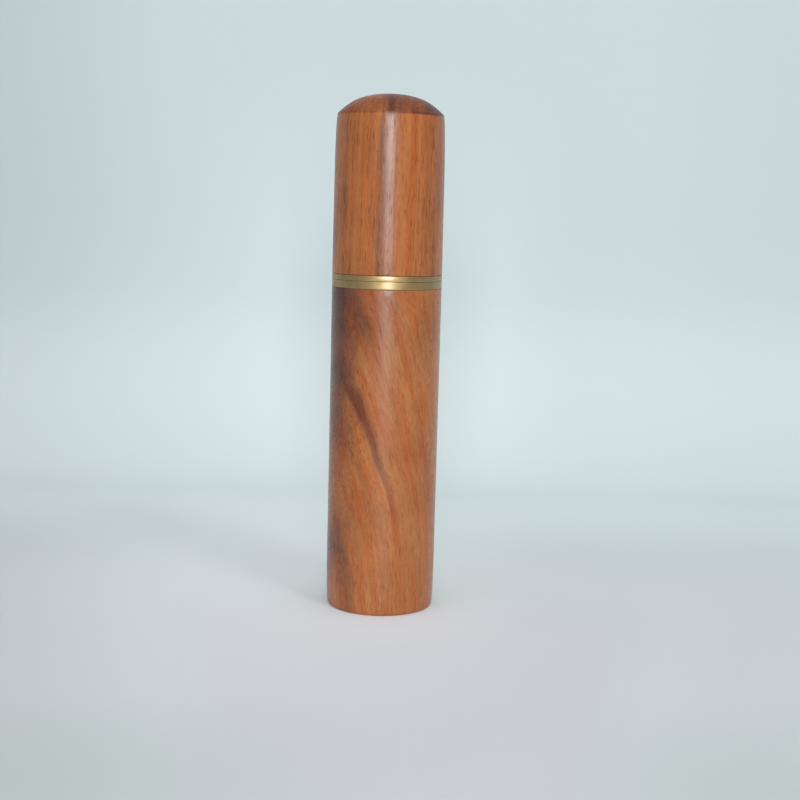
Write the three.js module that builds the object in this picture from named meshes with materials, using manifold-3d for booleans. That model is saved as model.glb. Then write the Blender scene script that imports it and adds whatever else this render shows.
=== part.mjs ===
// A turned wooden needle case: a plain cylindrical barrel with a blind, brass-lined chamber, closed by a
// domed cap. Barrel and cap meet in a two-part brass coupler whose flanges show as one narrow band. The
// cap screws on a two-start right-hand thread; a rubber ring in the neck below the thread snugs it.
// Millimetres, +Z up the axis, origin at the centre of the flat base.
import * as THREE from "three";
import { mergeVertices } from "three/addons/utils/BufferGeometryUtils.js";
import Module from "manifold-3d";

const wasm = await Module();
wasm.setup();

// ---- driving dimensions ----
const OUTER_R = 10.0; // barrel, cap and both flanges are turned flush
const OUTER_SEGMENTS = 64; // facets round the outside
const INNER_SEGMENTS = 40; // facets round the small inner pieces

const JOINT_GAP = 0.05; // glue line between wood and flange
const FIT_GAP = 0.1; // play round a glued piece, and beyond its end

const BARREL_TOP = 59.2; // wood ends here
const LOWER_FLANGE = { bottom: BARREL_TOP + JOINT_GAP, top: 60.6 }; // barrel side of the brass band
const UPPER_FLANGE = { bottom: 60.68, top: 61.45 }; // cap side of the brass band
const CAP_BOTTOM = UPPER_FLANGE.top + JOINT_GAP;
const CAP_TOP = 93.55; // crown of the dome
const CHAMBER_FLOOR = 6.0; // bottom of the barrel's blind bore
const CAP_CEILING = 86.0; // end of the cap's blind bore

const TUBE_R = 6.0; // brass lining tubes, outside
const TUBE_INNER_R = TUBE_R - 0.5;
const TUBE_BORE_R = TUBE_R + FIT_GAP; // bore in the wood

const PAD_R = 5.4;
const PAD_THICKNESS = 1.6;
const PAD_CHAMFER = 0.2;

const FLANGE_WOOD_CHAMFER = 0.06; // on the edge against the wood
const FLANGE_MEETING_CHAMFER = 0.1; // on the edge against the other flange

// Gluing sleeves of both couplers
const SLEEVE_CHAMFER = 0.25;
const GLUE_GROOVE = { depth: 0.25, floor: 0.5, slope: 0.15 }; // floor and slope measured along Z

// Male coupler
const NECK_BORE_R = 4.5; // clear way through
const NECK_SLEEVE_R = TUBE_INNER_R - FIT_GAP; // glued inside the barrel's lining tube
const NECK_SLEEVE_BOTTOM = 53.0;
const NECK_SLEEVE_TOP = 60.0; // hidden inside the flange
const NECK_GLUE_GROOVES = [54.6, 57.0]; // lower edges
const NECK_GROOVE_R = 5.6; // where the rubber ring sits
const NOSE_TOP = 67.6;

// Female coupler
const SOCKET_R = 8.0; // sleeve, glued in the cap
const SOCKET_BORE_R = SOCKET_R + FIT_GAP; // bore in the wood
const SOCKET_SLEEVE_BOTTOM = 61.0; // hidden inside the flange
const SOCKET_GLUE_GROOVES = [63.4, 66.4]; // lower edges
const SOCKET_TOP = 69.2;
const SOCKET_LEDGE = 61.7; // the recess for the rubber ring ends here
const SOCKET_RECESS_R = 6.85;

// Thread
const STARTS = 2;
const PITCH = 1.5; // from one ridge to the next
const LEAD = STARTS * PITCH; // rise in one turn
const TURN_STEPS = 40;
const THREAD_BOTTOM = 61.95;
const THREAD_RADIAL_CLEARANCE = 0.15;
const THREAD_FLANK_CLEARANCE = 0.1; // measured along the axis
const MALE_RIDGE = {
  minorR: 5.8,
  majorR: 6.5,
  crestHalf: 0.15, // half the ridge's width at its crest
  rootHalf: 0.55, // and at its foot
};
const FEMALE_RIDGE = widened(MALE_RIDGE, THREAD_RADIAL_CLEARANCE, THREAD_FLANK_CLEARANCE);

const SEAL = { radius: 6.14, sectionR: 0.42, sectionSegments: 10, z: 61.08 }; // rubber ring

// ---- outlines: [radius, z], upwards ----
// The foot has an eased arris and is slightly drawn in over its last few millimetres.
const BARREL_FOOT = [
  [9.42, 0], [9.66, 0.12], [9.77, 0.38], [9.84, 1.0],
  [9.9, 2.2], [9.96, 4.4], [OUTER_R, 8.5],
];

// The cap narrows gently towards its shoulder, turns in over a soft arris, and ends in a low dome.
const CAP_OUTLINE = [
  [OUTER_R, CAP_BOTTOM], [OUTER_R, 66.0], [9.97, 70.0], [9.945, 74.8],
  [9.92, 79.0], [9.88, 83.0], [9.82, 85.6], [9.76, 87.3],
  [9.7, 88.5], [9.63, 89.3], [9.54, 89.8], [9.36, 90.15],
  [9.0, 90.52], [8.1, 91.22], [7.0, 92.02], [5.9, 92.56],
  [4.8, 92.94], [3.7, 93.2], [2.6, 93.37], [1.4, 93.49],
  [0, CAP_TOP],
];

// ---- materials ----
const standard = (settings) => new THREE.MeshStandardMaterial(settings);
const materials = {
  wood: standard({ color: 0xa9663f, roughness: 0.38, metalness: 0.0 }),
  woodFigured: standard({ color: 0xa4623f, roughness: 0.42, metalness: 0.0 }),
  brass: standard({ color: 0xc2a866, roughness: 0.28, metalness: 1.0 }),
  brassDrawn: standard({ color: 0xbfa25c, roughness: 0.4, metalness: 1.0 }),
  rubber: standard({ color: 0x1c1b1a, roughness: 0.7, metalness: 0.0 }),
  felt: standard({ color: 0x34432f, roughness: 1.0, metalness: 0.0 }),
};

// ---- shape helpers ----
// A body of revolution about +Z from [radius, z] pairs. The profile runs anticlockwise, with the axis
// on its left, so that the faces point outwards.
function turned(profile, segments) {
  const points = profile.map(([radius, z]) => new THREE.Vector2(radius, z));
  return new THREE.LatheGeometry(points, segments).rotateX(Math.PI / 2);
}

// The same, with both ends of the profile carried straight in to the axis.
function turnedToAxis(profile, segments) {
  const bottom = profile[0][1];
  const top = profile.at(-1)[1];
  return turned([[0, bottom], ...profile, [0, top]], segments);
}

// A Manifold from a geometry: welds its vertices and drops the triangles that collapse on the axis.
function solid(geometry) {
  geometry.deleteAttribute("normal");
  geometry.deleteAttribute("uv");
  const merged = mergeVertices(geometry, 1e-4);
  const corners = merged.index.array;
  const kept = [];
  for (let i = 0; i < corners.length; i += 3) {
    const [first, second, third] = corners.subarray(i, i + 3);
    if (first !== second && second !== third && first !== third) kept.push(first, second, third);
  }
  return new wasm.Manifold(
    new wasm.Mesh({
      numProp: 3,
      vertProperties: new Float32Array(merged.attributes.position.array),
      triVerts: new Uint32Array(kept),
    }),
  );
}

const turnedSolid = (profile, segments = INNER_SEGMENTS) => solid(turnedToAxis(profile, segments));

function geometryOf(manifold) {
  const mesh = manifold.getMesh();
  const geometry = new THREE.BufferGeometry();
  geometry.setAttribute("position", new THREE.BufferAttribute(mesh.vertProperties, 3));
  geometry.setIndex(new THREE.BufferAttribute(mesh.triVerts, 1));
  geometry.computeVertexNormals();
  return geometry;
}

// ---- thread ----
// A ridge moved outwards and thickened, to cut the groove that another ridge runs in.
function widened({ minorR, majorR, crestHalf, rootHalf }, radial, axial) {
  const flankSlope = (rootHalf - crestHalf) / (majorR - minorR);
  const extraHalf = axial - flankSlope * radial;
  return {
    minorR: minorR + radial,
    majorR: majorR + radial,
    crestHalf: crestHalf + extraHalf,
    rootHalf: rootHalf + extraHalf,
  };
}

// A solid rod carrying the right-hand thread, from about bottom to top. The ridge's section is a
// trapezium. Each section point runs along its own helix, so the flanks are true helicoids, and one
// ridge is centred on z = 0 at the angle 0. Both ends are ragged, to be trimmed.
function threadRod(bottom, top, { minorR, majorR, crestHalf, rootHalf }) {
  const firstRidge = Math.floor(bottom / PITCH) - STARTS;
  const lastRidge = Math.ceil(top / PITCH) + STARTS;
  const section = [];
  for (let ridge = firstRidge; ridge <= lastRidge; ridge++) {
    const z = ridge * PITCH;
    section.push(
      [minorR, z - rootHalf],
      [majorR, z - crestHalf],
      [majorR, z + crestHalf],
      [minorR, z + rootHalf],
    );
  }
  const perLead = 4 * STARTS; // one turn lifts each section point by this many places
  const rows = section.length - perLead;

  const position = [];
  for (let i = 0; i < TURN_STEPS; i++) {
    const angle = (i / TURN_STEPS) * 2 * Math.PI;
    for (const [radius, z] of section)
      position.push(radius * Math.cos(angle), radius * Math.sin(angle), z + (LEAD * i) / TURN_STEPS);
  }
  const lowTip = position.length / 3;
  const highTip = lowTip + 1;
  position.push(0, 0, section[0][1] - 1);
  position.push(0, 0, section[rows - 1][1] + LEAD + 1);

  // after a full turn the rows join the first column, one lead higher
  const vertex = (i, k) => (i < TURN_STEPS ? i * section.length + k : k + perLead);
  const index = [];
  for (let i = 0; i < TURN_STEPS; i++)
    for (let k = 0; k < rows - 1; k++) {
      const opposite = vertex(i + 1, k + 1);
      index.push(vertex(i, k), vertex(i + 1, k), opposite);
      index.push(vertex(i, k), opposite, vertex(i, k + 1));
    }
  for (let i = 0; i < TURN_STEPS; i++) {
    index.push(lowTip, vertex(i + 1, 0), vertex(i, 0));
    index.push(highTip, vertex(i, rows - 1), vertex(i + 1, rows - 1));
  }
  // the step where the two ends of one turn meet, at the angle 0
  for (let k = 0; k < perLead; k++) {
    index.push(lowTip, vertex(0, k), vertex(0, k + 1));
    index.push(highTip, vertex(0, rows + k), vertex(0, rows + k - 1));
  }
  const geometry = new THREE.BufferGeometry();
  geometry.setAttribute("position", new THREE.BufferAttribute(new Float32Array(position), 3));
  geometry.setIndex(index);
  return solid(geometry);
}

// ---- parts shared by barrel and cap ----
function liningTube(bottom, top) {
  const lowerOuter = [TUBE_R, bottom];
  return turned(
    [lowerOuter, [TUBE_R, top], [TUBE_INNER_R, top], [TUBE_INNER_R, bottom], lowerOuter],
    INNER_SEGMENTS,
  );
}

// A disc seated at seatZ, its chamfered face towards direction (+1 up, -1 down).
function pad(seatZ, direction) {
  const faceZ = seatZ + direction * PAD_THICKNESS;
  const profile = [
    [PAD_R, seatZ],
    [PAD_R, faceZ - direction * PAD_CHAMFER],
    [PAD_R - PAD_CHAMFER, faceZ],
  ];
  if (direction < 0) profile.reverse(); // keep the profile running upwards
  return turnedToAxis(profile, INNER_SEGMENTS);
}

function flange({ bottom, top }, bottomChamfer, topChamfer) {
  return turnedSolid(
    [
      [OUTER_R - bottomChamfer, bottom],
      [OUTER_R, bottom + bottomChamfer],
      [OUTER_R, top - topChamfer],
      [OUTER_R - topChamfer, top],
    ],
    OUTER_SEGMENTS,
  );
}

// Profile points of the grooves round a sleeve, given their lower edges.
function glueGrooves(sleeveR, lowerEdges) {
  const { depth, floor, slope } = GLUE_GROOVE;
  return lowerEdges.flatMap((z) => [
    [sleeveR, z],
    [sleeveR - depth, z + slope],
    [sleeveR - depth, z + slope + floor],
    [sleeveR, z + 2 * slope + floor],
  ]);
}

// ---- barrel side ----
function barrelShell() {
  return turnedToAxis(
    [
      ...BARREL_FOOT,
      [OUTER_R, BARREL_TOP],
      [TUBE_BORE_R, BARREL_TOP],
      [TUBE_BORE_R, CHAMBER_FLOOR],
    ],
    OUTER_SEGMENTS,
  );
}

// Flange, grooved gluing sleeve below it, ring groove and threaded nose above it, bored through.
function maleCoupler() {
  const threadOverlap = 0.2; // neck runs this far up into the thread
  const sleeve = turnedSolid([
    [NECK_SLEEVE_R - SLEEVE_CHAMFER, NECK_SLEEVE_BOTTOM],
    [NECK_SLEEVE_R, NECK_SLEEVE_BOTTOM + SLEEVE_CHAMFER],
    ...glueGrooves(NECK_SLEEVE_R, NECK_GLUE_GROOVES),
    [NECK_SLEEVE_R, NECK_SLEEVE_TOP],
    [NECK_GROOVE_R, NECK_SLEEVE_TOP],
    [NECK_GROOVE_R, THREAD_BOTTOM + threadOverlap],
  ]);

  // trims the rod to length, with a cone at each end of the thread
  const envelopeR = MALE_RIDGE.majorR + 0.3; // clear of the crests
  const envelope = turnedSolid([
    [NECK_GROOVE_R, THREAD_BOTTOM - 0.15],
    [envelopeR, THREAD_BOTTOM + 0.75],
    [envelopeR, NOSE_TOP - 1.05],
    [MALE_RIDGE.minorR - 0.05, NOSE_TOP],
  ]);

  // flared at both ends, and running past them
  const bore = turnedSolid([
    [NECK_BORE_R + 1.3, NECK_SLEEVE_BOTTOM - 1],
    [NECK_BORE_R, NECK_SLEEVE_BOTTOM + 0.5],
    [NECK_BORE_R, NOSE_TOP - 0.4],
    [NECK_BORE_R + 1.0, NOSE_TOP + 0.6],
  ]);

  const trimAllowance = 2;
  return geometryOf(
    threadRod(THREAD_BOTTOM - trimAllowance, NOSE_TOP + trimAllowance, MALE_RIDGE)
      .intersect(envelope)
      .add(sleeve)
      .add(flange(LOWER_FLANGE, FLANGE_WOOD_CHAMFER, FLANGE_MEETING_CHAMFER))
      .subtract(bore),
  );
}

function sealRing() {
  return new THREE.TorusGeometry(SEAL.radius, SEAL.sectionR, SEAL.sectionSegments, INNER_SEGMENTS);
}

// ---- cap side ----
// Stepped blind bore for the lining tube and the socket, then the outside up to the crown.
function capShell() {
  const stepZ = SOCKET_TOP + FIT_GAP;
  return turned(
    [
      [0, CAP_CEILING],
      [TUBE_BORE_R, CAP_CEILING],
      [TUBE_BORE_R, stepZ],
      [SOCKET_BORE_R, stepZ],
      [SOCKET_BORE_R, CAP_BOTTOM],
      ...CAP_OUTLINE,
    ],
    OUTER_SEGMENTS,
  );
}

// Flange, recess that covers the rubber ring, and an internally threaded sleeve glued in the cap.
function femaleCoupler() {
  const sleeve = turnedSolid([
    [SOCKET_R, SOCKET_SLEEVE_BOTTOM],
    ...glueGrooves(SOCKET_R, SOCKET_GLUE_GROOVES),
    [SOCKET_R, SOCKET_TOP - SLEEVE_CHAMFER],
    [SOCKET_R - SLEEVE_CHAMFER, SOCKET_TOP],
  ]);

  // both end cuts taper to just inside the thread's minor radius
  const taperEndR = MALE_RIDGE.minorR + 0.1;
  const recess = turnedSolid([
    [SOCKET_RECESS_R, UPPER_FLANGE.bottom - 1],
    [SOCKET_RECESS_R, SOCKET_LEDGE],
    [taperEndR, SOCKET_LEDGE + 0.75],
  ]);
  const topFlare = turnedSolid([
    [taperEndR, SOCKET_TOP - 0.6],
    [MALE_RIDGE.majorR + 0.5, SOCKET_TOP + 0.2],
  ]);

  const overrun = 3; // thread cutter past each end
  return geometryOf(
    sleeve
      .add(flange(UPPER_FLANGE, FLANGE_MEETING_CHAMFER, FLANGE_WOOD_CHAMFER))
      .subtract(threadRod(SOCKET_LEDGE - overrun, SOCKET_TOP + overrun, FEMALE_RIDGE))
      .subtract(recess)
      .subtract(topFlare),
  );
}

// ---- assembly ----
function piece(name, geometry, material, z = 0) {
  const mesh = new THREE.Mesh(geometry, material);
  mesh.name = name;
  mesh.position.z = z;
  return mesh;
}

const { wood, woodFigured, brass, brassDrawn, rubber, felt } = materials;
const chamberSeat = CHAMBER_FLOOR + FIT_GAP;
const capSeat = CAP_CEILING - FIT_GAP;

const barrel = new THREE.Group();
barrel.add(
  piece("barrel_shell", barrelShell(), woodFigured),
  piece("barrel_lining_tube", liningTube(chamberSeat, BARREL_TOP), brassDrawn),
  piece("needle_pad", pad(chamberSeat, 1), felt),
  piece("male_coupler", maleCoupler(), brass),
);

const neck = new THREE.Group();
neck.add(piece("seal_ring", sealRing(), rubber, SEAL.z));

const cap = new THREE.Group();
cap.add(
  piece("cap_shell", capShell(), wood),
  piece("female_coupler", femaleCoupler(), brass),
  piece("cap_lining_tube", liningTube(SOCKET_TOP + 2 * FIT_GAP, capSeat), brassDrawn),
  piece("cap_pad", pad(capSeat, -1), felt),
);

const needleCase = new THREE.Group();
needleCase.add(barrel, neck, cap);

export default needleCase;
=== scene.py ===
# A needle case standing upright: a lacquered wood barrel and cap joined by a threaded brass
# coupler, with brass lining tubes, felt pads and a rubber ring, on a pale paper sweep.
# The case's axis is Z, its foot is at z = 0 and its front faces -Y, so left is -X.
# The sizes of pieces and textures are in mm; the stage, lights and camera are in metres.
import math

import bpy
import bmesh
import numpy as np
from mathutils import Matrix, Vector


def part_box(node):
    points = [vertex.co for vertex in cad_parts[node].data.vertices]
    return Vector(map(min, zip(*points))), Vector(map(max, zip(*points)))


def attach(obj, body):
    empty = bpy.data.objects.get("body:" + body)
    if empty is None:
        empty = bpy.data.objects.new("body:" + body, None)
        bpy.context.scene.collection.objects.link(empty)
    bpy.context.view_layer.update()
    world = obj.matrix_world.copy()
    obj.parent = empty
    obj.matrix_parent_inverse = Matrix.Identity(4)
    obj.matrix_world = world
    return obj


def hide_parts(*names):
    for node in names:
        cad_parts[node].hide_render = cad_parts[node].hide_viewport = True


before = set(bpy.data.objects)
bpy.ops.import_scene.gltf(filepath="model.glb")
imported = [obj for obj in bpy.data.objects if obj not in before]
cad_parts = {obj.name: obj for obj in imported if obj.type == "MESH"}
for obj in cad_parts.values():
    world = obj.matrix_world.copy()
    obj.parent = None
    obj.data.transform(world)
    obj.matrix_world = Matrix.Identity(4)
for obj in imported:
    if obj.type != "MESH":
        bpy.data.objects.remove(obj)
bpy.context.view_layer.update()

MM = 0.001

# ----------------------------------------------------------------------------------------------
# places and sizes
# ----------------------------------------------------------------------------------------------


def heights(node):
    """The bottom and top of a frame piece."""
    low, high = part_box(node)
    return low.z / MM, high.z / MM


BARREL_TOP = heights("barrel_shell")[1]
CAP_BOTTOM, CAP_TOP = heights("cap_shell")
MALE_BOTTOM, MALE_TOP = heights("male_coupler")
FEMALE_BOTTOM, FEMALE_TOP = heights("female_coupler")
BARREL_TUBE = heights("barrel_lining_tube")
CAP_TUBE = heights("cap_lining_tube")
BARREL_PAD = heights("needle_pad")
CAP_PAD = heights("cap_pad")
RING_BOTTOM, RING_TOP = heights("seal_ring")
RING_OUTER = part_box("seal_ring")[1].x / MM
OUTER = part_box("barrel_shell")[1].x / MM  # radius of the case

GAP = 0.1  # clearance between the wood and what is set in it
TUBE_OUTER, TUBE_INNER = 6.0, 5.5
PAD_RADIUS = 5.4
FEMALE_SLEEVE = 8.0  # outer radius of the female coupler's sleeve
WOOD_BORE = TUBE_OUTER + GAP

# columns round each kind of turned piece
WOOD_COLUMNS = 320
THREAD_COLUMNS = 288
RING_COLUMNS = 256
TUBE_COLUMNS = 192
PAD_COLUMNS = 144

CREASE = 34  # degrees over which an edge is sharp
THREAD_CREASE = 48

# the two-start thread
PITCH = 1.5
LEAD = 2 * PITCH
MAJOR, MINOR = 6.5, 5.8
CREST, ROOT = 0.15, 0.55  # half widths of the ridge, at the major and minor radius
CLEAR_RADIUS, CLEAR_WIDTH = 0.15, 0.1  # how much larger the female thread is
THREAD_STEP = 0.032  # height between the thread's rows

# ----------------------------------------------------------------------------------------------
# profiles: lists of (radius, height)
# ----------------------------------------------------------------------------------------------


def span(start, end, step):
    """Even values from start to end, no more than step apart."""
    count = max(1, int(math.ceil(abs(end - start) / step)))
    return [start + (end - start) * i / count for i in range(count + 1)]


def wall(radius, bottom, top, step):
    return [(radius, z) for z in span(bottom, top, step)]


def arc(centre, radius, start, end, count):
    """Points on an arc between two angles in degrees."""
    angles = [math.radians(start + (end - start) * i / count) for i in range(count + 1)]
    return [(centre[0] + radius * math.cos(a), centre[1] + radius * math.sin(a)) for a in angles]


def rounded(points, radii, count):
    """Rounds a profile's corners in count steps. There is one radius per point; 0 leaves it sharp."""
    out = []
    for i, point in enumerate(points):
        if not radii[i] or i in (0, len(points) - 1):
            out.append(point)
            continue
        before, corner, after = (np.array(q) for q in points[i - 1 : i + 2])
        back, ahead = before - corner, after - corner
        back_length, ahead_length = np.linalg.norm(back), np.linalg.norm(ahead)
        back, ahead = back / back_length, ahead / ahead_length
        half = math.acos(max(-1, min(1, float(back @ ahead)))) / 2
        if half > math.pi / 2 - 0.02:  # nearly straight
            out.append(point)
            continue
        cut = min(radii[i] / math.tan(half), back_length * 0.48, ahead_length * 0.48)
        radius = cut * math.tan(half)
        middle = (back + ahead) / np.linalg.norm(back + ahead)
        centre = corner + middle * (radius / math.sin(half))
        start, end = corner + back * cut, corner + ahead * cut
        angle0 = math.atan2(*(start - centre)[::-1])
        angle1 = math.atan2(*(end - centre)[::-1])
        turn = (angle1 - angle0 + math.pi) % (2 * math.pi) - math.pi
        for k in range(count + 1):
            a = angle0 + turn * k / count
            out.append((centre[0] + radius * math.cos(a), centre[1] + radius * math.sin(a)))
    return out


def subdivided(points, step):
    """Adds points along a profile's long stretches."""
    out = [points[0]]
    for a, b in zip(points, points[1:]):
        count = max(1, int(math.ceil(math.hypot(b[0] - a[0], b[1] - a[1]) / step)))
        for i in range(1, count + 1):
            out.append((a[0] + (b[0] - a[0]) * i / count, a[1] + (b[1] - a[1]) * i / count))
    return out


def smooth_profile(points, step):
    """A centripetal Catmull-Rom curve through the points, sampled about every step."""
    knots = [np.array(q, float) for q in points]
    knots = [2 * knots[0] - knots[1]] + knots + [2 * knots[-1] - knots[-2]]
    out = []
    for i in range(1, len(knots) - 2):
        p0, p1, p2, p3 = knots[i - 1 : i + 3]
        t0 = 0.0
        t1 = t0 + np.linalg.norm(p1 - p0) ** 0.5
        t2 = t1 + np.linalg.norm(p2 - p1) ** 0.5
        t3 = t2 + np.linalg.norm(p3 - p2) ** 0.5
        count = max(1, int(math.ceil(np.linalg.norm(p2 - p1) / step)))
        for k in range(count):
            t = t1 + (t2 - t1) * k / count
            a1 = (t1 - t) / (t1 - t0) * p0 + (t - t0) / (t1 - t0) * p1
            a2 = (t2 - t) / (t2 - t1) * p1 + (t - t1) / (t2 - t1) * p2
            a3 = (t3 - t) / (t3 - t2) * p2 + (t - t2) / (t3 - t2) * p3
            b1 = (t2 - t) / (t2 - t0) * a1 + (t - t0) / (t2 - t0) * a2
            b2 = (t3 - t) / (t3 - t1) * a2 + (t - t1) / (t3 - t1) * a3
            radius, z = (t2 - t) / (t2 - t1) * b1 + (t - t1) / (t2 - t1) * b2
            out.append((max(0.0, float(radius)), float(z)))
    out.append(tuple(float(v) for v in knots[-2]))
    return out


# ----------------------------------------------------------------------------------------------
# meshes
# ----------------------------------------------------------------------------------------------


def mesh_object(name, verts, faces):
    mesh = bpy.data.meshes.new(name)
    mesh.from_pydata(verts, [], faces)
    mesh.validate()
    mesh.update()
    ob = bpy.data.objects.new(name, mesh)
    bpy.context.scene.collection.objects.link(ob)
    mesh.polygons.foreach_set("use_smooth", [True] * len(mesh.polygons))
    return ob


def sharpen(ob, degrees):
    """Marks the real corners sharp, so that smooth shading stays true beside them."""
    bm = bmesh.new()
    bm.from_mesh(ob.data)
    bmesh.ops.recalc_face_normals(bm, faces=bm.faces)
    limit = math.radians(degrees)
    for edge in bm.edges:
        if len(edge.link_faces) == 2:
            edge.smooth = edge.calc_face_angle(0) < limit
    bm.to_mesh(ob.data)
    bm.free()


def distinct(rows):
    """The rows without any that repeat the one before."""
    out = []
    for row in rows:
        if not out or sum(np.max(np.abs(np.subtract(a, b))) for a, b in zip(row, out[-1])) > 1e-5:
            out.append(row)
    return out


def column_angles(columns):
    return np.arange(columns) * 2 * math.pi / columns


def turned(name, profile, columns, crease=CREASE):
    """A body of revolution. Its profile closes on itself, or starts and ends on the axis.
    A row's radius and height may each be an array, with one value per column."""
    angles = column_angles(columns)
    verts, rings = [], []
    for radius, z in distinct(profile):
        on_axis = np.isscalar(radius) and radius < 1e-6
        rings.append(range(len(verts), len(verts) + (1 if on_axis else columns)))
        if on_axis:
            verts.append((0.0, 0.0, z * MM))
        else:
            level = np.broadcast_to(z, columns)
            ring = np.stack([radius * np.cos(angles), radius * np.sin(angles), level], 1)
            verts += (ring * MM).tolist()
    faces = []
    for a, b in zip(rings, rings[1:] + rings[:1]):
        if len(a) == 1 and len(b) == 1:
            continue
        for i in range(columns):
            j = (i + 1) % columns
            if len(a) == 1:
                faces.append((a[0], b[i], b[j]))
            elif len(b) == 1:
                faces.append((a[i], b[0], a[j]))
            else:
                faces.append((a[i], b[i], b[j], a[j]))
    ob = mesh_object(name, verts, faces)
    sharpen(ob, crease)
    return ob


# ----------------------------------------------------------------------------------------------
# shader nodes
# ----------------------------------------------------------------------------------------------


def srgb(*channels):
    """sRGB from 0 to 255, as linear."""
    return tuple(
        (c / 255 / 12.92) if c / 255 <= 0.04045 else ((c / 255 + 0.055) / 1.055) ** 2.4
        for c in channels
    )


def put(socket, value):
    """Links a Value to an input, or sets the input to a number, vector or colour."""
    if isinstance(value, Value):
        value.tree.links.new(value.socket, socket)
    elif socket.type == "RGBA":
        socket.default_value = (*value, 1.0)
    else:
        socket.default_value = value


def add_node(tree, kind, inputs, output=0, **props):
    """Adds a node, fills its inputs and gives back one of its outputs."""
    node = tree.nodes.new(kind)
    for key, value in props.items():
        setattr(node, key, value)
    for key, value in inputs.items():
        put(node.inputs[key], value)
    return Value(tree, node.outputs[output])


class Value:
    """A node's output. Arithmetic on it adds Math nodes."""

    def __init__(self, tree, socket):
        self.tree = tree
        self.socket = socket

    def math(self, operation, *operands, **props):
        inputs = dict(enumerate(operands))
        return add_node(self.tree, "ShaderNodeMath", inputs, operation=operation, **props)

    def __add__(self, other):
        return self.math("ADD", self, other)

    def __radd__(self, other):
        return self.math("ADD", other, self)

    def __sub__(self, other):
        return self.math("SUBTRACT", self, other)

    def __rsub__(self, other):
        return self.math("SUBTRACT", other, self)

    def __mul__(self, other):
        return self.math("MULTIPLY", self, other)

    def __truediv__(self, other):
        return self.math("DIVIDE", self, other)

    def __abs__(self):
        return self.math("ABSOLUTE", self)

    def sqrt(self):
        return self.math("SQRT", self)

    def minimum(self, other):
        return self.math("MINIMUM", self, other)

    def maximum(self, other):
        return self.math("MAXIMUM", self, other)

    def gain(self, factor):
        """The value times factor, kept within 0 and 1."""
        return self.math("MULTIPLY", self, factor, use_clamp=True)

    def step(self, off, on):
        """A smooth mask, 0 at off and 1 at on; off may be the larger."""
        inputs = {"Value": self, "From Min": off, "From Max": on}
        return add_node(self.tree, "ShaderNodeMapRange", inputs, interpolation_type="SMOOTHSTEP")

    def bell(self, at, width):
        """A mask, 1 at one value and falling to 0 one width away on both sides."""
        return abs(self - at).step(off=width, on=0)

    def remap(self, given, to, clamp=True):
        """Maps one (low, high) pair to another."""
        names = ("From Min", "From Max", "To Min", "To Max")
        inputs = {"Value": self, **dict(zip(names, (*given, *to)))}
        return add_node(self.tree, "ShaderNodeMapRange", inputs, clamp=clamp)

    def curve(self, points, low, high):
        """A smooth function through (input, output) points, with outputs from low to high."""
        node = self.tree.nodes.new("ShaderNodeFloatCurve")
        first, last = points[0][0], points[-1][0]
        places = [((a - first) / (last - first), (b - low) / (high - low)) for a, b in points]
        curve = node.mapping.curves[0]
        curve.points[0].location = places[0]
        curve.points[1].location = places[-1]
        for place in places[1:-1]:
            curve.points.new(*place)
        node.mapping.update()
        put(node.inputs["Value"], self.remap((first, last), to=(0, 1)))
        return Value(self.tree, node.outputs[0]).remap((0, 1), to=(low, high), clamp=False)

    def ramp(self, stops):
        """Colours through (position, sRGB) stops."""
        node = self.tree.nodes.new("ShaderNodeValToRGB")
        elements = node.color_ramp.elements
        elements.remove(elements[1])
        elements[0].position = stops[0][0]
        elements[0].color = (*srgb(*stops[0][1]), 1)
        for position, colour in stops[1:]:
            elements.new(position).color = (*srgb(*colour), 1)
        put(node.inputs[0], self)
        return Value(self.tree, node.outputs[0])

    def split(self):
        node = self.tree.nodes.new("ShaderNodeSeparateXYZ")
        put(node.inputs[0], self)
        return [Value(self.tree, socket) for socket in node.outputs]

    def shifted(self, x, y, z):
        inputs = {0: self, 1: (x, y, z)}
        return add_node(self.tree, "ShaderNodeVectorMath", inputs, operation="ADD")

    def noise(self, scale=1.0, detail=2.0, rough=0.5, distort=0.0):
        names = ("Vector", "Scale", "Detail", "Roughness", "Distortion")
        inputs = dict(zip(names, (self, scale, detail, rough, distort)))
        return add_node(self.tree, "ShaderNodeTexNoise", inputs, "Fac")

    def bump(self, strength, depth):
        """A normal from this height, where 1 is depth mm high."""
        inputs = {"Strength": strength, "Distance": depth * MM, "Height": self}
        return add_node(self.tree, "ShaderNodeBump", inputs)


def vector(x, y, z):
    return add_node(x.tree, "ShaderNodeCombineXYZ", {0: x, 1: y, 2: z})


def mix(factor, a, b, mode="MIX"):
    inputs = {0: factor, 6: a, 7: b}
    return add_node(factor.tree, "ShaderNodeMix", inputs, 2, data_type="RGBA", blend_type=mode)


def wander(place, scale, amount, seed=0.0):
    """A slow offset, about amount mm each way."""
    moved = place.shifted(seed, seed * 1.7, -seed)
    return (moved.noise(scale=scale, detail=1.5) - 0.5) * (2 * amount)


class Surface:
    """A material with one Principled shader; place is the object position in mm."""

    def __init__(self, name):
        self.material = bpy.data.materials.new(name)
        self.material.use_nodes = True
        self.tree = self.material.node_tree
        self.tree.nodes.clear()
        self.output = self.tree.nodes.new("ShaderNodeOutputMaterial")
        self.shader = self.tree.nodes.new("ShaderNodeBsdfPrincipled")
        self.tree.links.new(self.shader.outputs[0], self.output.inputs[0])
        metres = add_node(self.tree, "ShaderNodeTexCoord", {}, "Object")
        self.place = add_node(
            self.tree, "ShaderNodeVectorMath", {0: metres, "Scale": 1000.0}, operation="SCALE"
        )

    def set(self, **inputs):
        for name, value in inputs.items():
            put(self.shader.inputs[name.replace("_", " ")], value)


# ----------------------------------------------------------------------------------------------
# wood
# ----------------------------------------------------------------------------------------------


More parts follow.
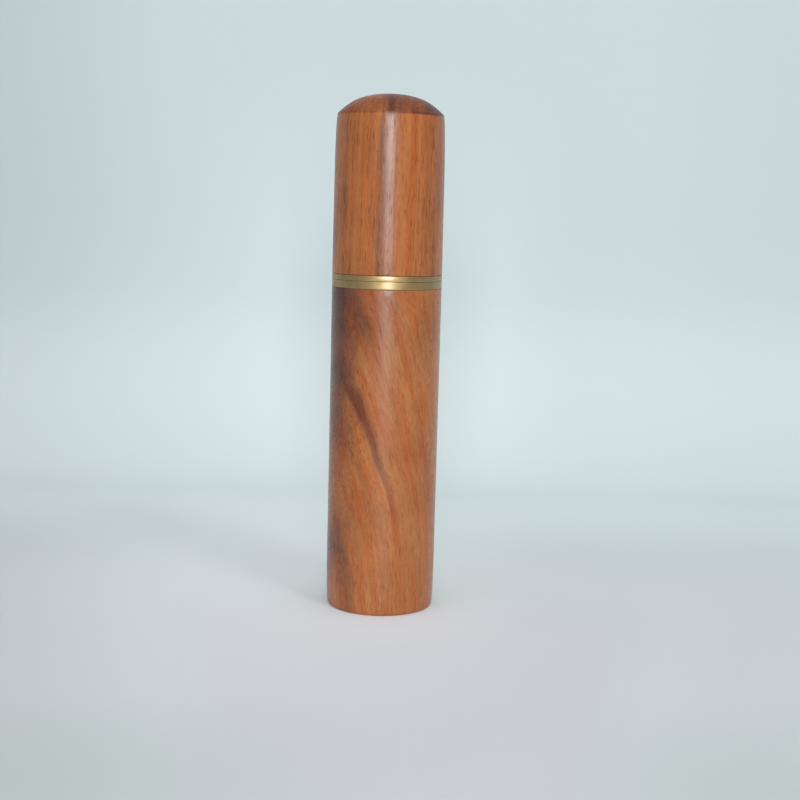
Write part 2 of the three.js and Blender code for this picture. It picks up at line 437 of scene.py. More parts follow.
def wood_surface(
    surface, across, y, z, dark, stops, pore_tint, wet, coat, bundle, dash, length, pore, sheen,
    gold=None,
):
    """Fibres, pores and mottle, and the lacquer over them with its wear.
    across and y run across the grain and z along it; dark is 0 in pale wood and 1 in the darkest,
    and stops turn it into colour. wet is the lacquer's least roughness and coat its weight.
    bundle, dash and pore are the contrast of those marks, length is the bundles' scale along the
    grain, sheen is the wood's own specular level and gold is a mask of golden layers."""
    place = surface.place
    # bundles of fibres, a few tenths of a millimetre wide and many long
    bundles = vector(across * 2.1, y * 2.1, z * length).noise(detail=3, rough=0.62)
    fine = vector(across * 6.5, y * 6.5, z * 0.42).noise(rough=0.6)
    # the light and dark dashes of interlocked grain
    dashes = vector(across * 3.1, y * 3.1, z * 0.75).noise(detail=2.5, rough=0.6)
    cloud = place.noise(scale=0.11)
    # each pattern is centred on 0, then weighted by its contrast
    tone = (
        dark
        + (bundles - 0.5) * bundle
        + (fine - 0.5) * 0.20
        + (dashes - 0.5) * dash
        + (cloud - 0.5) * 0.30
    )
    colour = tone.ramp(stops)
    # a slow drift between redder and more golden wood
    hue = vector(across * 0.75, y * 0.5, z * 0.05).noise().step(off=0.40, on=0.64)
    if gold is not None:
        hue = (hue * 0.55).maximum(gold)
    colour = mix(hue * 0.5, colour, srgb(190, 134, 70), "SOFT_LIGHT")
    # open pores: short dark dashes in two sizes, more crowded in some layers than in others
    crowd = vector(across * 0.9, y * 0.9, z * 0.06).noise()
    big = vector(across * 4.3, y * 4.3, z * 0.46 + 31).noise(detail=0)
    small = vector(across * 7.7, y * 7.7, z * 0.95 + -17).noise(detail=0)
    edge = crowd.remap((0.35, 0.65), to=(0.74, 0.62))  # noise over this is a pore
    big = (big - edge).gain(11)
    small = (small - (edge + -0.01)).gain(9)
    pores = big.maximum(small * 0.7)
    colour = mix(pores * pore, colour, pore_tint, "MULTIPLY")
    # lacquer: nearly filled pores, a trace of the lathe, faint handling marks
    scuff = place.shifted(3, 9, 4).noise(scale=0.35, detail=3, rough=0.6)
    rub = vector(across * 0.7, y * 0.7, z * 3).noise(detail=3, rough=0.65)
    swell = place.noise(scale=0.5, detail=1)
    height = pores * -0.55 + fine * 0.28 + bundles * 0.22 + swell * 0.5
    coat_swell = place.noise(scale=0.8, detail=1)
    coat_height = pores * -0.5 + fine * 0.12 + coat_swell * 0.5
    surface.set(
        Base_Color=colour,
        Roughness=(dashes + pores * 0.4).remap((0.3, 1), to=(0.36, 0.56)),
        IOR=1.45,
        Specular_IOR_Level=sheen,
        Normal=height.bump(strength=0.35, depth=0.05),
        Coat_Weight=pores.remap((0, 1), to=(1, 0.55)) * coat,
        Coat_Roughness=wet
        + scuff.remap((0.35, 0.7), to=(0, 0.09))
        + rub.remap((0.4, 0.75), to=(0, 0.05)),
        Coat_IOR=1.42,
        Coat_Normal=coat_height.bump(strength=0.14, depth=0.03),
    )


# how far the barrel's growth layers have moved over at each height: (z, shift)
BARREL_LEAN = [
    (0, 1.0), (6, 1.5), (12, 2.2), (17, 3.05), (20.4, 3.83), (23.7, 4.7), (29.3, 6.7),
    (33.9, 8.05), (37, 9.02), (40.2, 10.0), (42.8, 10.85), (50, 13.1), (60, 16.4),
]
# the width of the main dark sheet: (z, width)
SHEET_WIDTH = [(0, 0.7), (20, 0.75), (28, 1.0), (33, 1.15), (37, 1.3), (41, 1.4), (60, 1.4)]
# how strongly it shows: (z, strength)
SHEET_STRENGTH = [
    (0, 0.1), (8, 0.06), (14, 0.1), (20, 0.4), (26, 0.6), (30, 0.72),
    (34, 0.82), (38, 0.86), (42, 0.7), (47, 0.45), (60, 0.3),
]
# wood colours: (darkness, sRGB)
BARREL_STOPS = [
    (0.02, (190, 124, 72)),
    (0.26, (175, 111, 62)),
    (0.36, (165, 102, 56)),
    (0.44, (156, 94, 52)),
    (0.62, (130, 75, 44)),
    (0.80, (101, 57, 40)),
    (1.0, (74, 44, 37)),
]
CAP_STOPS = [
    (0.02, (190, 115, 60)),
    (0.24, (178, 107, 55)),
    (0.42, (165, 97, 49)),
    (0.60, (139, 79, 42)),
    (0.80, (106, 60, 40)),
    (1.0, (80, 46, 38)),
]


def barrel_wood():
    surface = Surface("wood_barrel_lacquered")
    place = surface.place
    x, y, z = place.split()
    lean = z.curve(BARREL_LEAN, low=0, high=18)
    slow = wander(place, scale=0.085, amount=0.35)
    quick = wander(place, scale=0.35, amount=0.22, seed=12.0)
    across = x + lean + y * 0.55 + slow + quick
    # the main dark sheet, hard on its lower left and soft on its upper right
    depth = across / z.curve(SHEET_WIDTH, low=0, high=2)
    sheet = depth.step(off=-0.75, on=-0.2).minimum(depth.step(off=1.25, on=0.05))
    sheet = sheet * z.curve(SHEET_STRENGTH, low=0, high=1)
    # a thin pale layer lies against its hard side, and a faint dark one beyond that
    pale = across.bell(at=-1.6, width=0.75) * z.step(off=21, on=27) * z.step(off=43, on=38)
    second = across.bell(at=-3.4, width=0.9) * z.step(off=18, on=25) * z.step(off=36, on=29)
    # fainter sheets above it and below it
    above = across.bell(at=5, width=1.6) * z.step(off=41, on=47)
    far = across.bell(at=10.5, width=1.8)
    low = across.bell(at=-9.1, width=1.25) * z.remap((5, 11), to=(0.55, 1))
    under = x.step(off=-3, on=-6) * z.bell(at=35.5, width=9)
    # the dark heartwood on the left side, from the middle of the barrel up
    side = (x + quick).step(off=-6.2, on=-8.4) * z.step(off=31, on=39.5)
    crown = (x + slow * 2).step(off=0, on=-6) * z.step(off=46.5, on=54)
    side_band = (
        (x + quick).bell(at=-6, width=2.6) * z.step(off=41, on=46) * z.step(off=54, on=50)
    )
    left = x.step(off=-1, on=-9)
    top = z.step(off=44, on=54)
    top_middle = x.bell(at=-0.5, width=3.2)
    front_right = x.bell(at=4.2, width=2.6) * y.step(off=0, on=-5) * z.step(off=28, on=34)
    # thin lines that keep the sheets company, strongest towards the back
    lines = vector(across * 1.1, y * 0.25, z * 0.022).noise(rough=0.55)
    line_weight = y.remap((-7.5, -2), to=(0.20, 0.55))
    blotches = vector(across * 0.33, y * 0.1, z * 0.02).noise(detail=1)
    back = y.step(off=-2, on=6) * blotches.step(off=0.52, on=0.66)
    # the plain wood's darkness, and how much each layer adds to it
    dark = (
        0.36
        + sheet * 0.38
        + pale * -0.12
        + second * 0.08
        + above * 0.15
        + far * 0.05
        + low * 0.22
        + under * 0.14
        + side * 0.22
        + side_band * 0.12
        + left * 0.10
        + crown * 0.15
        + top * (0.06 + top_middle * 0.10)
        + back * 0.28
        + (lines - 0.5) * line_weight
        + front_right * -0.045
    )
    wood_surface(
        surface, across, y, z, dark,
        stops=BARREL_STOPS,
        pore_tint=srgb(138, 86, 62),
        wet=0.25,
        coat=0.82,
        bundle=0.34,
        dash=0.36,
        length=0.13,
        pore=0.36,
        sheen=0.14,
    )
    return surface.material


def cap_wood():
    surface = Surface("wood_cap_lacquered")
    x, y, z = surface.place.split()
    slow = wander(vector(x, y, z * 0.35), scale=0.10, amount=0.6, seed=5.0)
    quick = wander(vector(x, y, z * 0.5), scale=0.4, amount=0.2, seed=21.0)
    # the layers lean a little with height and depth
    across = x + (z - 75) * -0.03 + y * -0.10 + slow + quick
    lines = vector(across * 1.5, y * 0.3, z * 0.02).noise(detail=3, rough=0.6)
    # a dark streak up the middle, narrow on the top, where the layers are cut across
    core = across.step(off=-2, on=-0.2).minimum(across.step(off=3.2, on=0.5))
    top = (x + quick).bell(at=0.1, width=1.1) * y.step(off=3, on=-6.5)
    core = core * z.step(off=89.8, on=89.2) + top * z.step(off=89.2, on=89.7) * 0.85
    left = across.step(off=-3, on=-7.5)
    right = across.step(off=6.4, on=9)
    thin_gold = (across.bell(at=2.9, width=0.5) * 0.6).maximum(
        across.bell(at=-5.6, width=0.5) * 0.5
    )
    gold = across.bell(at=4.9, width=0.9).maximum(thin_gold)
    dark_band = across.bell(at=7, width=1.6)
    pale_band = across.bell(at=4.4, width=1.8)
    # the dome is darker: partly its end grain, and partly painted shade, since its top gets little
    # light
    dome = z.step(off=89.35, on=89.85)
    dome_grain_and_shade_weight = x.remap((-5, 4), to=(0.20, 0.41))
    # the plain wood's darkness, and how much each layer adds to it; the dome's share is partly
    # painted shade
    dark = (
        0.40
        + core * 0.26
        + left * 0.11
        + right * 0.13
        + dark_band * 0.12
        + pale_band * -0.04
        + (lines - 0.5) * 0.46
        + dome * dome_grain_and_shade_weight
    )
    wood_surface(
        surface, across, y, z, dark,
        stops=CAP_STOPS,
        pore_tint=srgb(128, 76, 52),
        gold=gold,
        wet=0.165,
        coat=z.remap((89.5, 90.2), to=(0.52, 0.34)),
        bundle=0.50,
        dash=0.30,
        length=0.085,
        pore=0.42,
        sheen=z.remap((89.4, 90.1), to=(0.26, 0.03)),
    )
    return surface.material


# ----------------------------------------------------------------------------------------------
# metal, rubber, felt
# ----------------------------------------------------------------------------------------------


def brass_turned():
    surface = Surface("brass_turned")
    place = surface.place
    x, y, z = place.split()
    section = (x * x + y * y).sqrt() + z  # along the section, whichever way the surface faces
    # rings and finer hairlines left by the lathe
    rings = vector(x * 0.02, y * 0.02, section * 1.0).noise(scale=9, detail=3, rough=0.7)
    hair = vector(x * 0.12, y * 0.12, section).noise(scale=26, rough=0.6)
    blotch = place.noise(scale=0.42, detail=3, rough=0.6)
    spots = place.shifted(7, 2, 5).noise(scale=1.5, rough=0.6).step(off=0.60, on=0.74)
    tarnish = (blotch.step(off=0.42, on=0.72) * 0.55).maximum(spots * 0.5)
    clean = mix(rings.remap((0.3, 0.7), to=(0, 1)), srgb(173, 143, 91), srgb(165, 135, 83))
    surface.set(
        Base_Color=mix(tarnish, clean, srgb(142, 112, 68)),
        Metallic=1.0,
        Roughness=hair.remap((0.3, 0.7), to=(0.42, 0.50)) + tarnish * 0.10,
        Normal=(rings * 0.25 + hair * 0.5).bump(strength=0.10, depth=0.006),
        Coat_Weight=0.45 - tarnish * 0.25,
        Coat_Roughness=hair.remap((0.3, 0.7), to=(0.20, 0.28)),
        Coat_IOR=2.2,
    )
    return surface.material


def brass_drawn():
    surface = Surface("brass_drawn")
    place = surface.place
    x, y, z = place.split()
    streak = vector(x * 5, y * 5, z * 0.12).noise(detail=3, rough=0.65)
    blotch = place.noise(scale=0.25, detail=3, rough=0.6)
    clean = mix(streak.remap((0.3, 0.7), to=(0, 1)), srgb(206, 172, 104), srgb(178, 142, 80))
    surface.set(
        Base_Color=mix(blotch.step(off=0.45, on=0.75) * 0.6, clean, srgb(132, 98, 58)),
        Metallic=1.0,
        Roughness=streak.remap((0.3, 0.7), to=(0.30, 0.46)),
        Normal=streak.bump(strength=0.3, depth=0.02),
    )
    return surface.material


def rubber():
    surface = Surface("rubber_black")
    grain = surface.place.noise(scale=6, detail=3, rough=0.6)
    bloom = surface.place.noise(scale=0.8, detail=3, rough=0.6)
    surface.set(
        Base_Color=mix(bloom.step(off=0.5, on=0.8), srgb(30, 29, 28), srgb(56, 54, 50)),
        Roughness=grain.remap((0.3, 0.7), to=(0.5, 0.7)),
        Specular_IOR_Level=0.4,
        Normal=grain.bump(strength=0.3, depth=0.01),
    )
    return surface.material


def felt():
    surface = Surface("felt_green")
    place = surface.place
    fibres = place.noise(scale=3.2, detail=4, rough=0.75, distort=1.4)
    tufts = place.noise(scale=1.1, detail=3, rough=0.6, distort=0.6)
    fleck = place.shifted(11, 0, 3).noise(scale=4.5, detail=1).step(off=0.62, on=0.72)
    colour = mix(fibres.remap((0.35, 0.65), to=(0, 1)), srgb(38, 56, 40), srgb(74, 96, 66))
    surface.set(
        Base_Color=mix(fleck * 0.4, colour, srgb(120, 132, 96)),
        Roughness=0.95,
        Specular_IOR_Level=0.1,
        Sheen_Weight=0.5,
        Sheen_Roughness=0.4,
        Sheen_Tint=srgb(150, 170, 130),
        Normal=(fibres * 0.7 + tufts * 0.5).bump(strength=0.8, depth=0.12),
    )
    return surface.material


# ----------------------------------------------------------------------------------------------
# pieces
# ----------------------------------------------------------------------------------------------

# curved parts of the wood's outside: (radius, z)
BARREL_FOOT = [
    (9.66, 0.12), (9.77, 0.38), (9.84, 1.0), (9.9, 2.2), (9.96, 4.4), (9.99, 6.6), (OUTER, 9.0),
]
CAP_SHOULDER = [
    (OUTER, 66.0), (9.97, 70.0), (9.945, 74.8), (9.92, 79.0), (9.88, 83.0),
    (9.82, 85.6), (9.76, 87.3), (9.70, 88.5), (9.64, 89.2), (9.575, 89.62),
]
CAP_DOME = [
    (9.36, 90.12), (9.0, 90.46), (8.1, 91.22), (7.0, 91.98), (5.9, 92.54),
    (4.8, 92.93), (3.7, 93.2), (2.6, 93.38), (1.4, 93.5), (0.0, CAP_TOP),
]
CAP_ARRIS = (9.53, 89.93)  # where shoulder and dome would meet, before rounding


def barrel_mesh():
    lip = BARREL_TOP - 0.16
    lip_round = 0.05
    floor = BARREL_TUBE[0] - GAP
    outline = (
        rounded([(0, 0.0), (9.42, 0.0), BARREL_FOOT[0]], [0, 0.12, 0], 4)
        + smooth_profile(BARREL_FOOT, 0.2)[1:]
        + wall(OUTER, 10.0, lip - lip_round, 1.2)
        + arc((OUTER - lip_round, lip - lip_round), lip_round, 0, 90, 4)
        + rounded([(OUTER - 0.3, lip), (WOOD_BORE, lip), (WOOD_BORE, lip - 2.0)], [0, 0.12, 0], 3)
        + [(WOOD_BORE, floor), (0, floor)]
    )
    return turned("wood_barrel", outline, WOOD_COLUMNS)


def cap_mesh():
    shoulder = smooth_profile(CAP_SHOULDER, 0.35)
    dome = smooth_profile(CAP_DOME, 0.22)
    arris = rounded([shoulder[-1], CAP_ARRIS, dome[0]], [0, 0.22, 0], 6)
    ceiling = CAP_PAD[1] + GAP
    ledge = FEMALE_TOP + GAP
    mouth = FEMALE_SLEEVE + GAP
    chamfer = 0.1
    rim_round = 0.09
    outline = (
        [(0, ceiling), (WOOD_BORE, ceiling), (WOOD_BORE, ledge), (mouth, ledge)]
        + [(mouth, CAP_BOTTOM + chamfer), (mouth + chamfer, CAP_BOTTOM)]
        + [(OUTER - 0.3, CAP_BOTTOM)]
        + arc((OUTER - rim_round, CAP_BOTTOM + rim_round), rim_round, -90, 0, 4)
        + wall(OUTER, CAP_BOTTOM + 0.4, 65.0, 1.2)
        + shoulder
        + arris[1:-1]
        + dome
    )
    return turned("wood_cap", outline, WOOD_COLUMNS)


def thread_radius(z, grow_radius=0.0, grow_width=0.0):
    """The thread's radius round the turn at one height."""
    slope = (ROOT - CREST) / (MAJOR - MINOR)
    root = ROOT - slope * grow_radius + grow_width
    crest = CREST - slope * grow_radius + grow_width
    ridge = z - LEAD * column_angles(THREAD_COLUMNS) / (2 * math.pi)
    away = np.abs((ridge + PITCH / 2) % PITCH - PITCH / 2)
    rise = np.clip((root - away) / (root - crest), 0, 1)
    rise = 0.65 * rise + 0.35 * rise * rise * (3 - 2 * rise)  # eases the flank's ends
    return MINOR + grow_radius + (MAJOR - MINOR) * rise


def grooves(radius, starts):
    """Shallow grooves with sloping sides in a sleeve, each from one of the starting heights."""
    rows = []
    floor = radius - 0.25
    for z in starts:
        points = [(radius, z), (floor, z + 0.15), (floor, z + 0.65), (radius, z + 0.8)]
        rows += rounded(points, [0, 0.06, 0.06, 0], 2)
    return rows


def male_mesh():
    """Flange, grooved sleeve, ring groove and threaded nose of the barrel's coupler."""
    bore, sleeve, neck, nose_tip = 4.5, 5.4, 5.6, 5.75
    flange0, flange1 = BARREL_TOP - 0.12, 60.44
    bottom, top = MALE_BOTTOM, MALE_TOP
    thread_foot = 61.8
    groove_starts = (54.6, 57.0)
    rows = wall(bore, top - 0.75, bottom + 0.55, 1.0)
    rows += rounded(
        [
            (bore, bottom + 0.55),
            (bore + 0.35, bottom),
            (sleeve - 0.2, bottom),
            (sleeve, bottom + 0.2),
            (sleeve, groove_starts[0]),
        ],
        [0, 0.1, 0.08, 0.08, 0],
        3,
    )
    rows += grooves(sleeve, groove_starts)
    rows += rounded(
        [(sleeve, flange0 - 0.2), (sleeve, flange0), (OUTER, flange0), (OUTER, flange0 + 0.2)],
        [0, 0.05, 0.05, 0],
        3,
    )
    rows += wall(OUTER, flange0 + 0.4, flange1 - 0.25, 0.25)
    rim = [(OUTER, flange1 - 0.15), (OUTER, flange1), (OUTER - 0.5, flange1)]
    rows += rounded(rim, [0, 0.05, 0], 5)
    rows += [(8.6, flange1), (7.4, flange1)]
    rows += rounded([(7.0, flange1), (neck, flange1), (neck, 61.7)], [0, 0.12, 0], 4)
    limit = MAJOR + 0.3  # clear of the thread, which tapers away from it at both ends
    for z in span(thread_foot, top, THREAD_STEP):
        foot = neck + (limit - neck) * min(1.0, (z - thread_foot) / 0.9)
        nose = nose_tip + (limit - nose_tip) * min(1.0, (top - z) / 1.05)
        rows.append((np.minimum(thread_radius(z), min(foot, nose)), z))
    rows += rounded(
        [(5.3, top), (bore + 0.25, top), (bore, top - 0.45), (bore, top - 0.7)],
        [0, 0.15, 0.1, 0],
        3,
    )
    return turned("brass_male_coupler", rows, THREAD_COLUMNS, THREAD_CREASE)


def female_mesh():
    """Flange, ring recess and threaded sleeve of the cap's coupler."""
    flange0, flange1 = FEMALE_BOTTOM - 0.2, CAP_BOTTOM - 0.06
    sleeve, recess, ledge = FEMALE_SLEEVE, 6.85, 61.7
    top = FEMALE_TOP
    groove_starts = (63.4, 66.4)
    rim = [(recess + 1.4, flange0), (OUTER, flange0), (OUTER, flange0 + 0.4)]
    rows = rounded(rim, [0, 0.05, 0], 5)
    rim = [(OUTER, flange0 + 0.45), (OUTER, flange1), (sleeve + 0.5, flange1)]
    rows += rounded(rim, [0, 0.05, 0], 3)[1:]
    corner = [(sleeve + 0.4, flange1), (sleeve, flange1), (sleeve, groove_starts[0])]
    rows += rounded(corner, [0, 0.05, 0], 2)[1:]
    rows += grooves(sleeve, groove_starts)
    rows += rounded(
        [(sleeve, top - 0.6), (sleeve, top - 0.2), (sleeve - 0.2, top), (7.2, top)],
        [0, 0.08, 0.08, 0],
        3,
    )
    # the thread is cut back at its lower and upper ends
    for z in reversed(span(ledge, top, THREAD_STEP)):
        lower = 6.55 - (z - ledge) * 0.95
        upper = 5.9 + (z - (top - 0.6)) * 1.05
        radius = thread_radius(z, CLEAR_RADIUS, CLEAR_WIDTH)
        rows.append((np.maximum(radius, max(lower, upper)), z))
    rows += rounded(
        [(6.6, ledge), (recess, ledge), (recess, flange0), (recess + 1.2, flange0)],
        [0, 0.08, 0.12, 0],
        3,
    )[1:]
    return turned("brass_female_coupler", rows, THREAD_COLUMNS, THREAD_CREASE)


def tube_mesh(name, bottom, top):
    middle = (bottom + top) / 2
    outline = rounded(
        [
            (TUBE_INNER, middle),
            (TUBE_INNER, bottom),
            (TUBE_OUTER, bottom),
            (TUBE_OUTER, top),
            (TUBE_INNER, top),
            (TUBE_INNER, middle + 1),
        ],
        [0, 0.12, 0.08, 0.08, 0.12, 0],
        3,
    )
    return turned(name, subdivided(outline, 3.0), TUBE_COLUMNS)


def pad_mesh(name, bottom, top, up, seed):
    """A felt disc whose free face is dished and lumpy. That face is upward, or downward if not up."""
    rng = np.random.default_rng(seed)
    thick, edge = top - bottom, PAD_RADIUS
    outline = [(radius, 0.0) for radius in span(0.0, edge - 0.15, 0.35)]
    outline += arc((edge - 0.12, 0.12), 0.12, -90, 0, 3)[1:] + [(edge, thick * 0.5)]
    outline += arc((edge - 0.35, thick - 0.4), 0.35, 0, 90, 6)
    outline += [(radius, thick - 0.05) for radius in span(edge - 0.5, 0.0, 0.25)]
    # lobes round the turn and their phase, waves per mm of radius and their phase
    waves = [
        (rng.integers(2, 9), rng.uniform(0, 6.28), rng.uniform(0.4, 2.2), rng.uniform(0, 6.28))
        for _ in range(14)
    ]
    angles = column_angles(PAD_COLUMNS)

    def lumpy(radius, z):
        if z < thick * 0.35 or radius < 1e-6:
            return radius, z
        lump = sum(
            np.cos(lobes * angles + turn) * math.sin(radius * rate + phase)
            for lobes, turn, rate, phase in waves
        ) / len(waves)
        fade = min(1.0, radius / 1.5)
        dish = -0.10 * max(0.0, 1 - (radius / 4.6) ** 2)
        pull = np.minimum(0.0, 0.10 * lump - 0.03) * (radius > edge - 0.6)
        return radius + pull, z + np.minimum(0.0, dish + 0.16 * lump * fade - 0.02)

    ob = turned(name, [lumpy(*row) for row in outline], PAD_COLUMNS)
    if up:
        ob.data.transform(Matrix.Translation((0, 0, bottom * MM)))
    else:
        flip = Matrix.Rotation(math.pi, 4, "X")
        ob.data.transform(Matrix.Translation((0, 0, top * MM)) @ flip)
    return ob


def seal_mesh():
    """A rubber ring with a fine raised line round its outside."""
    section = (RING_TOP - RING_BOTTOM) / 2
    centre = RING_OUTER - section
    middle = (RING_BOTTOM + RING_TOP) / 2
    count = 40
    outline = []
    for i in range(count):
        a = 2 * math.pi * i / count
        radius = section * (1.0 if i else 1.02) - 0.01
        outline.append((centre + radius * math.cos(a), middle + radius * math.sin(a)))
    return turned("rubber_ring", outline, RING_COLUMNS)


def dress(ob, material, body, node):
    """Gives a piece its material, hangs it on its body and hides the frame piece that it stands for.
    """
    ob.data.materials.append(material)
    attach(ob, body)
    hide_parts(node)


brass, drawn, green, black = brass_turned(), brass_drawn(), felt(), rubber()
barrel_tube = ("brass_barrel_lining", *BARREL_TUBE)
cap_tube = ("brass_cap_lining", *CAP_TUBE)
barrel_pad = ("felt_needle_pad", *BARREL_PAD)
cap_pad = ("felt_cap_pad", *CAP_PAD)
dress(barrel_mesh(), barrel_wood(), "barrel", "barrel_shell")
dress(cap_mesh(), cap_wood(), "cap", "cap_shell")
dress(male_mesh(), brass, "barrel", "male_coupler")
dress(female_mesh(), brass, "cap", "female_coupler")
dress(tube_mesh(*barrel_tube), drawn, "barrel", "barrel_lining_tube")
dress(tube_mesh(*cap_tube), drawn, "cap", "cap_lining_tube")
dress(pad_mesh(*barrel_pad, up=True, seed=7), green, "barrel", "needle_pad")
dress(pad_mesh(*cap_pad, up=False, seed=11), green, "cap", "cap_pad")
dress(seal_mesh(), black, "neck_ring", "seal_ring")

# ----------------------------------------------------------------------------------------------
# stage, in metres except for the paper's texture
# ----------------------------------------------------------------------------------------------

EYE_BACK = 251.6  # mm from the case's axis forward to where the paper's side shading fans out


def paper():
    surface = Surface("paper")
    place = surface.place
    x, y, z = place.split()
    # broad tints over the floor and up the curve, then painted light: a brighter band up the curve
    # and a brighter bend
    colour = mix(place.noise(scale=0.01), srgb(193, 202, 203), srgb(197, 205, 206))
    floor = y.step(off=90, on=10) * z.step(off=20, on=0)
    colour = mix(floor, colour, srgb(203, 208, 211))
    # painted light: a brighter band up the curve, standing in for the light that falls there
    painted_light_band = (y - z * 2).bell(at=90, width=90)
    colour = mix(painted_light_band * 0.26, colour, srgb(209, 217, 218))
    # painted light in the bend, lifting the shade where the floor meets the backdrop
    bend = y.bell(at=84, width=52) * z.step(off=30, on=8)
    colour = mix(bend * 0.6, colour, srgb(215, 222, 224))
    # a little brighter where the case keeps the light off it
    foot_distance = ((x + 3) * (x + 3) + y * y).sqrt()
    foot = foot_distance.step(off=34, on=11) * z.step(off=20, on=0)
    oval_x, oval_y = x + 14, (y + -24) * 0.62
    oval = (oval_x * oval_x + oval_y * oval_y).sqrt()
    past = oval.step(off=66, on=10) * z.step(off=20, on=0)
    behind = abs(x + 3).step(off=62, on=18) * y.step(off=80, on=130) * z.step(off=122, on=60)
    colour = mix(past * 0.66, colour, srgb(221, 226, 228))
    colour = mix(foot * 0.30, colour, srgb(232, 236, 238))
    colour = mix(behind * 0.6, colour, srgb(211, 219, 221))
    # the light falls off towards the sides, most on the left
    sideways = x / (y + EYE_BACK).maximum(130)
    dim = sideways.step(off=-0.13, on=-0.30) * z.remap((5, 40), to=(0.6, 1))
    dim = dim.maximum(sideways.step(off=0.17, on=0.30) * 0.2)
    colour = mix(dim * y.step(off=-190, on=-80), colour, (0.86, 0.855, 0.85), "MULTIPLY")
    # the floor is warmer in the middle, and the front corners carry painted shade: darker and a more
    # neutral grey
    side = sideways.step(off=-0.10, on=-0.18).maximum(sideways.step(off=0.15, on=0.22))
    here = z.step(off=20, on=0) * y.step(off=-190, on=-80)
    warm = (1 - side) * y.step(off=15, on=-20) * here
    colour = mix(warm, colour, (1.012, 0.958, 0.985), "MULTIPLY")
    # painted shade darkens the floor's front corners, where the light falls off
    corner_shade = sideways.step(off=0.03, on=-0.20).maximum(sideways.step(off=0.10, on=0.28))
    corner_shade = corner_shade * y.step(off=-45, on=-85) * here
    colour = mix(corner_shade, colour, (0.90, 0.93, 0.905), "MULTIPLY")
    surface.set(
        Base_Color=colour,
        Roughness=0.9,
        Specular_IOR_Level=0.15,
        Normal=place.noise(scale=0.8, detail=3).bump(strength=0.05, depth=0.05),
    )
    # far from the case the paper fades into the light of the room, so that no edge shows,
    # and from behind or below it isn't seen at all
    tree = surface.tree
    away = (x * x + y * y).sqrt().step(off=240, on=760)
    away = away.maximum(add_node(tree, "ShaderNodeNewGeometry", {}, "Backfacing"))
    seen = add_node(tree, "ShaderNodeLightPath", {}, "Is Camera Ray")
    clear = add_node(tree, "ShaderNodeBsdfTransparent", {})
    solid = Value(tree, surface.shader.outputs[0])
    fade = add_node(tree, "ShaderNodeMixShader", {0: away * seen, 1: solid, 2: clear})
    put(surface.output.inputs[0], fade)
    return surface.material


def sweep():
    """A floor that curves up into a backdrop behind the case, and runs far out on other sides."""
    bend, back, high, half = 0.05, 0.15, 1.4, 1.6
    drop = 0.00002  # keeps the floor just under the case
    turn = np.radians(np.arange(5, 91, 5))
    line = [(-half, 0.0)] + [(y, 0.0) for y in span(-1.2, back - bend, 0.2)]
    line += [(back - bend + bend * math.sin(a), bend - bend * math.cos(a)) for a in turn]
    line += [(back, z) for z in span(bend + 0.1, high, 0.2)]
    columns = 33
    verts = [(x, y, z - drop) for y, z in line for x in np.linspace(-half, half, columns)]
    faces = []
    for j in range(len(line) - 1):
        for i in range(columns - 1):
            a = j * columns + i
            faces.append((a, a + 1, a + columns + 1, a + columns))
    ob = mesh_object("backdrop", verts, faces)
    ob.data.materials.append(paper())


sweep()

# ----------------------------------------------------------------------------------------------
# light and camera, in metres
# ----------------------------------------------------------------------------------------------


def room():
    """Soft light from all round. Seen directly, the room is as pale as the paper."""
    world = bpy.data.worlds.new("studio")
    world.use_nodes = True
    nodes, links = world.node_tree.nodes, world.node_tree.links
    light = nodes["Background"]
    light.inputs["Color"].default_value = (0.92, 0.97, 0.985, 1)
    light.inputs["Strength"].default_value = 0.42
    seen = nodes.new("ShaderNodeBackground")
    seen.inputs["Color"].default_value = (*srgb(205, 216, 218), 1)
    seen.inputs["Strength"].default_value = 1.0
    path = nodes.new("ShaderNodeLightPath")
    both = nodes.new("ShaderNodeMixShader")
    links.new(path.outputs["Is Camera Ray"], both.inputs[0])
    links.new(light.outputs[0], both.inputs[1])
    links.new(seen.outputs[0], both.inputs[2])
    links.new(both.outputs[0], nodes["World Output"].inputs["Surface"])
    bpy.context.scene.world = world


WINDOW = (0.94, 0.98, 0.99)  # colour of the strips, which make one tall window in front
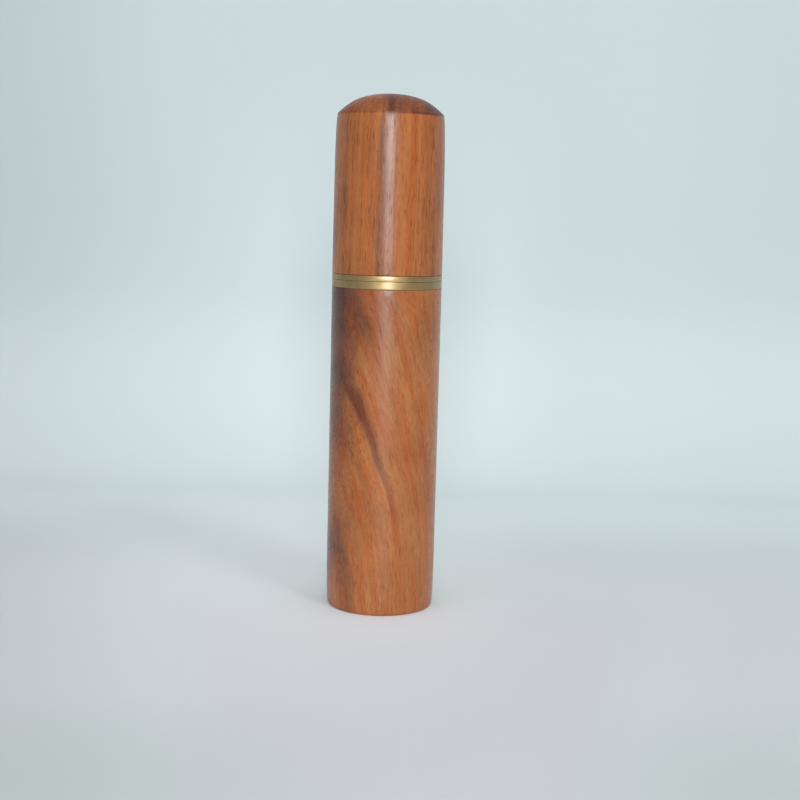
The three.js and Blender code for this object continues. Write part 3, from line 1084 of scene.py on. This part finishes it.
# name, place, point it faces, (width, height), watts, colour
LIGHTS = [
    ("soft_top", (0.0, -0.35, 1.30), (0, 0, 0), (1.6, 1.2), 8.6, (1.0, 0.995, 0.985)),
    ("front_soft", (0.10, -1.2, 0.50), (0, 0, 0.04), (0.8, 0.6), 0.5, (1.0, 0.99, 0.98)),
    ("strip_top", (0.0, -1.35, 0.356), (0, 0, 0.08), (0.40, 0.188), 5.2, WINDOW),
    ("strip_high", (0.0, -1.35, 0.193), (0, 0, 0.07), (0.40, 0.136), 2.9, WINDOW),
    ("strip_low", (0.0, -1.35, 0.0625), (0, 0, 0.0625), (0.40, 0.117), 1.8, WINDOW),
    ("strip_crest", (0.0, -1.35, 0.53), (0, 0, 0.09), (0.40, 0.16), 2.4, WINDOW),
    ("right_key", (0.515, -0.636, 0.877), (0, 0, 0.03), (0.16, 0.16), 1.3, (0.98, 0.99, 1.0)),
]


def area_light(name, place, target, size, watts, colour):
    light = bpy.data.lights.new(name, "AREA")
    light.shape = "RECTANGLE"
    light.size, light.size_y = size
    light.energy = watts
    light.color = colour
    light.spread = math.pi
    ob = bpy.data.objects.new(name, light)
    ob.location = place
    ob.rotation_mode = "QUATERNION"
    ob.rotation_quaternion = (Vector(target) - Vector(place)).to_track_quat("-Z", "Y")
    bpy.context.scene.collection.objects.link(ob)
    return ob


def camera():
    """A camera in front of the case, tilted down, turned a little right and leaning left."""
    place = (0, -0.25161, 0.07320)
    tilt, roll, yaw = 0.137813, 0.0258333, 0.0116629  # radians
    data = bpy.data.cameras.new("camera")
    data.sensor_width = 36.0
    data.lens = 61.95375
    data.clip_start, data.clip_end = 0.01, 10
    ob = bpy.data.objects.new("camera", data)
    bpy.context.scene.collection.objects.link(ob)
    ahead = Vector(
        (math.sin(yaw) * math.cos(tilt), math.cos(yaw) * math.cos(tilt), -math.sin(tilt))
    )
    level = Vector((math.cos(yaw), -math.sin(yaw), 0))
    upright = level.cross(ahead)
    right = level * math.cos(roll) + upright * math.sin(roll)
    up = upright * math.cos(roll) - level * math.sin(roll)
    matrix = Matrix((right, up, -ahead)).transposed().to_4x4()
    matrix.translation = Vector(place)
    ob.matrix_world = matrix
    bpy.context.scene.camera = ob


room()
lights = {row[0]: area_light(*row) for row in LIGHTS}
# the window runs on upwards, and only the shine of the cap's rounded edge shows it
lights["strip_crest"].visible_diffuse = False

bpy.context.scene.view_settings.view_transform = "Standard"
bpy.context.scene.view_settings.look = "None"
camera()
